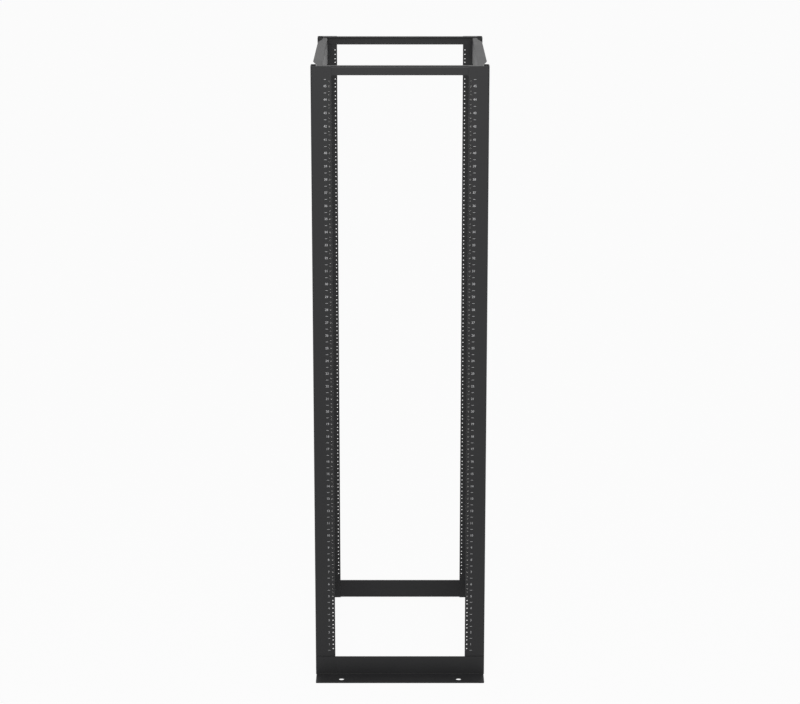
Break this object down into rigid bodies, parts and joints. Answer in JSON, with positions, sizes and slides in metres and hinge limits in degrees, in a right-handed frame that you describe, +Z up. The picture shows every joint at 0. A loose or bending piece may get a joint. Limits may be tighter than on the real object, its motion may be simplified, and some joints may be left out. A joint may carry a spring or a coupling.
{
  "type": "four post open frame rack",
  "caption": "Tall open steel frame of folded posts with punched rack holes, top and base angles and side channels, for rack mounted equipment.",
  "frame": {"origin": "on the floor, under the middle of the rack", "axes": "+Z up, -Y to the front, +X to the right seen from the front"},
  "size_m": [0.5874, 0.9208, 2.1336],
  "materials": {
    "black_powder_coat": "fine satin powder coat"
  },
  "bodies": {
    "root": {"post_front_left": "black_powder_coat", "post_front_right": "black_powder_coat", "post_rear_left": "black_powder_coat", "post_rear_right": "black_powder_coat", "top_angle_front": "black_powder_coat", "top_angle_rear": "black_powder_coat", "base_angle_front": "black_powder_coat", "base_angle_rear": "black_powder_coat", "side_channel_top_left": "black_powder_coat", "side_channel_top_right": "black_powder_coat", "side_channel_base_left": "black_powder_coat", "side_channel_base_right": "black_powder_coat"}
  },
  "joints": []
}
